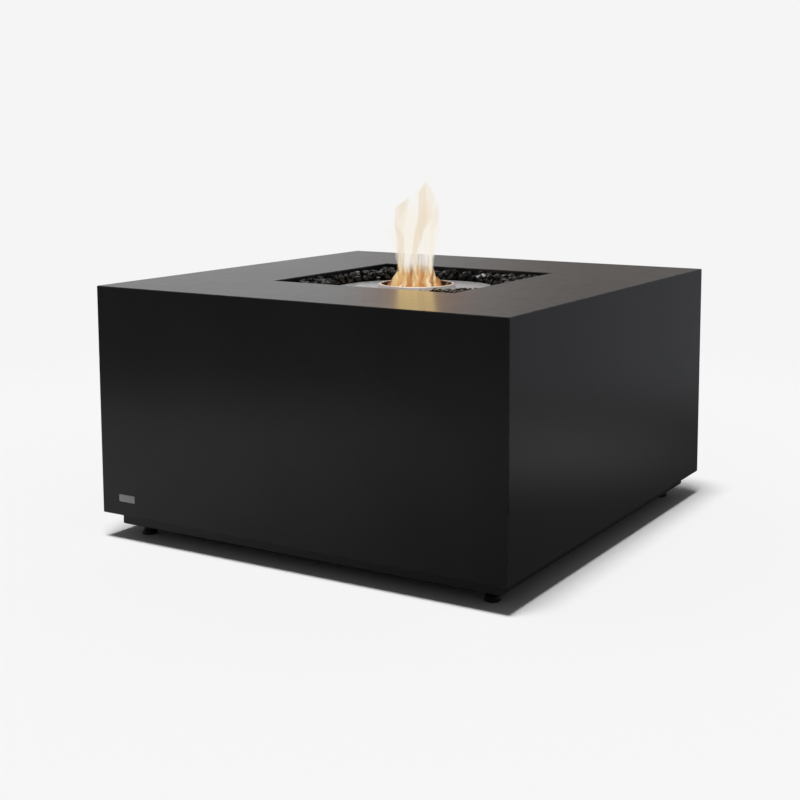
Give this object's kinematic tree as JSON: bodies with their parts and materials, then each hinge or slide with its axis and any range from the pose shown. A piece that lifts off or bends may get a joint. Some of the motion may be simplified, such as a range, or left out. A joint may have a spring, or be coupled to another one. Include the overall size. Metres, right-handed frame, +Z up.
{
  "type": "ethanol fire pit table",
  "caption": "Low square black composite fire table with a round drop-in ethanol burner in a bed of black glass charcoal, on a recessed plinth with levelling feet.",
  "frame": {"origin": "on the floor under the middle of the table", "axes": "+Z up, -Y towards the front face that carries the badge plate, +X to the right seen from the front"},
  "size_m": [0.762, 0.7624, 0.422],
  "materials": {
    "composite": "matte",
    "plinth_black": "matte",
    "foot_black": "matte",
    "stud_black": "satin",
    "fastener_zinc": "satin",
    "insert_brass": "satin",
    "tray_black": "matte",
    "gasket_fibre": "matte",
    "burner_steel": "satin",
    "spacer_ceramic": "matte",
    "badge_steel": "satin",
    "glass_black": "gloss"
  },
  "bodies": {
    "table": {"casing": "composite", "badge_plate": "badge_steel", "plinth_inserts": "insert_brass", "plinth_bolts": "fastener_zinc", "burner_tray": "tray_black", "tray_gasket": "gasket_fibre", "tray_screws": "fastener_zinc", "tray_inserts": "insert_brass", "plinth_rail_front": "plinth_black", "glass_lower_front": "glass_black", "glass_upper_front": "glass_black", "plinth_rail_right": "plinth_black", "glass_lower_right": "glass_black", "glass_upper_right": "glass_black", "plinth_rail_back": "plinth_black", "glass_lower_back": "glass_black", "glass_upper_back": "glass_black", "plinth_rail_left": "plinth_black", "glass_lower_left": "glass_black", "glass_upper_left": "glass_black", "foot_plate_front_left": "plinth_black", "foot_nut_front_left": "fastener_zinc", "foot_plate_front_right": "plinth_black", "foot_nut_front_right": "fastener_zinc", "foot_plate_back_right": "plinth_black", "foot_nut_back_right": "fastener_zinc", "foot_plate_back_left": "plinth_black", "foot_nut_back_left": "fastener_zinc"},
    "burner": {"burner_plate": "burner_steel", "burner_shell": "burner_steel", "fuel_reservoir": "burner_steel", "reservoir_spacers": "spacer_ceramic", "fuel_level_tab": "burner_steel"},
    "ring": {"efficiency_ring": "burner_steel"},
    "pad_front_left": {"foot_pad_front_left": "foot_black"},
    "stud_front_left": {"foot_stud_front_left": "stud_black"},
    "pad_front_right": {"foot_pad_front_right": "foot_black"},
    "stud_front_right": {"foot_stud_front_right": "stud_black"},
    "pad_back_right": {"foot_pad_back_right": "foot_black"},
    "stud_back_right": {"foot_stud_back_right": "stud_black"},
    "pad_back_left": {"foot_pad_back_left": "foot_black"},
    "stud_back_left": {"foot_stud_back_left": "stud_black"}
  },
  "joints": [
    {"name": "burner_lift", "type": "slide", "parent": "table", "child": "burner", "axis": [0, 0, 1], "range_m": [0, 0.12]},
    {"name": "ring_lift", "type": "slide", "parent": "burner", "child": "ring", "axis": [0, 0, 1], "range_m": [0, 0.05]},
    {"name": "foot_height_front_left", "type": "slide", "parent": "table", "child": "pad_front_left", "axis": [0, 0, 1], "range_m": [-0.003, 0.007]},
    {"name": "foot_turn_front_left", "type": "hinge", "parent": "pad_front_left", "child": "stud_front_left", "pos_m": [-0.328, -0.328, 0.015], "axis": [0, 0, 1], "range_deg": [-721, 1681]},
    {"name": "foot_height_front_right", "type": "slide", "parent": "table", "child": "pad_front_right", "axis": [0, 0, 1], "range_m": [-0.003, 0.007]},
    {"name": "foot_turn_front_right", "type": "hinge", "parent": "pad_front_right", "child": "stud_front_right", "pos_m": [0.328, -0.328, 0.015], "axis": [0, 0, 1], "range_deg": [-721, 1681]},
    {"name": "foot_height_back_right", "type": "slide", "parent": "table", "child": "pad_back_right", "axis": [0, 0, 1], "range_m": [-0.003, 0.007]},
    {"name": "foot_turn_back_right", "type": "hinge", "parent": "pad_back_right", "child": "stud_back_right", "pos_m": [0.328, 0.328, 0.015], "axis": [0, 0, 1], "range_deg": [-721, 1681]},
    {"name": "foot_height_back_left", "type": "slide", "parent": "table", "child": "pad_back_left", "axis": [0, 0, 1], "range_m": [-0.003, 0.007]},
    {"name": "foot_turn_back_left", "type": "hinge", "parent": "pad_back_left", "child": "stud_back_left", "pos_m": [-0.328, 0.328, 0.015], "axis": [0, 0, 1], "range_deg": [-721, 1681]}
  ],
  "couplings": [
    {"joint": "foot_turn_front_left", "follows": "foot_height_front_left", "rad_per_m": 4188.8},
    {"joint": "foot_turn_front_right", "follows": "foot_height_front_right", "rad_per_m": 4188.8},
    {"joint": "foot_turn_back_right", "follows": "foot_height_back_right", "rad_per_m": 4188.8},
    {"joint": "foot_turn_back_left", "follows": "foot_height_back_left", "rad_per_m": 4188.8}
  ]
}
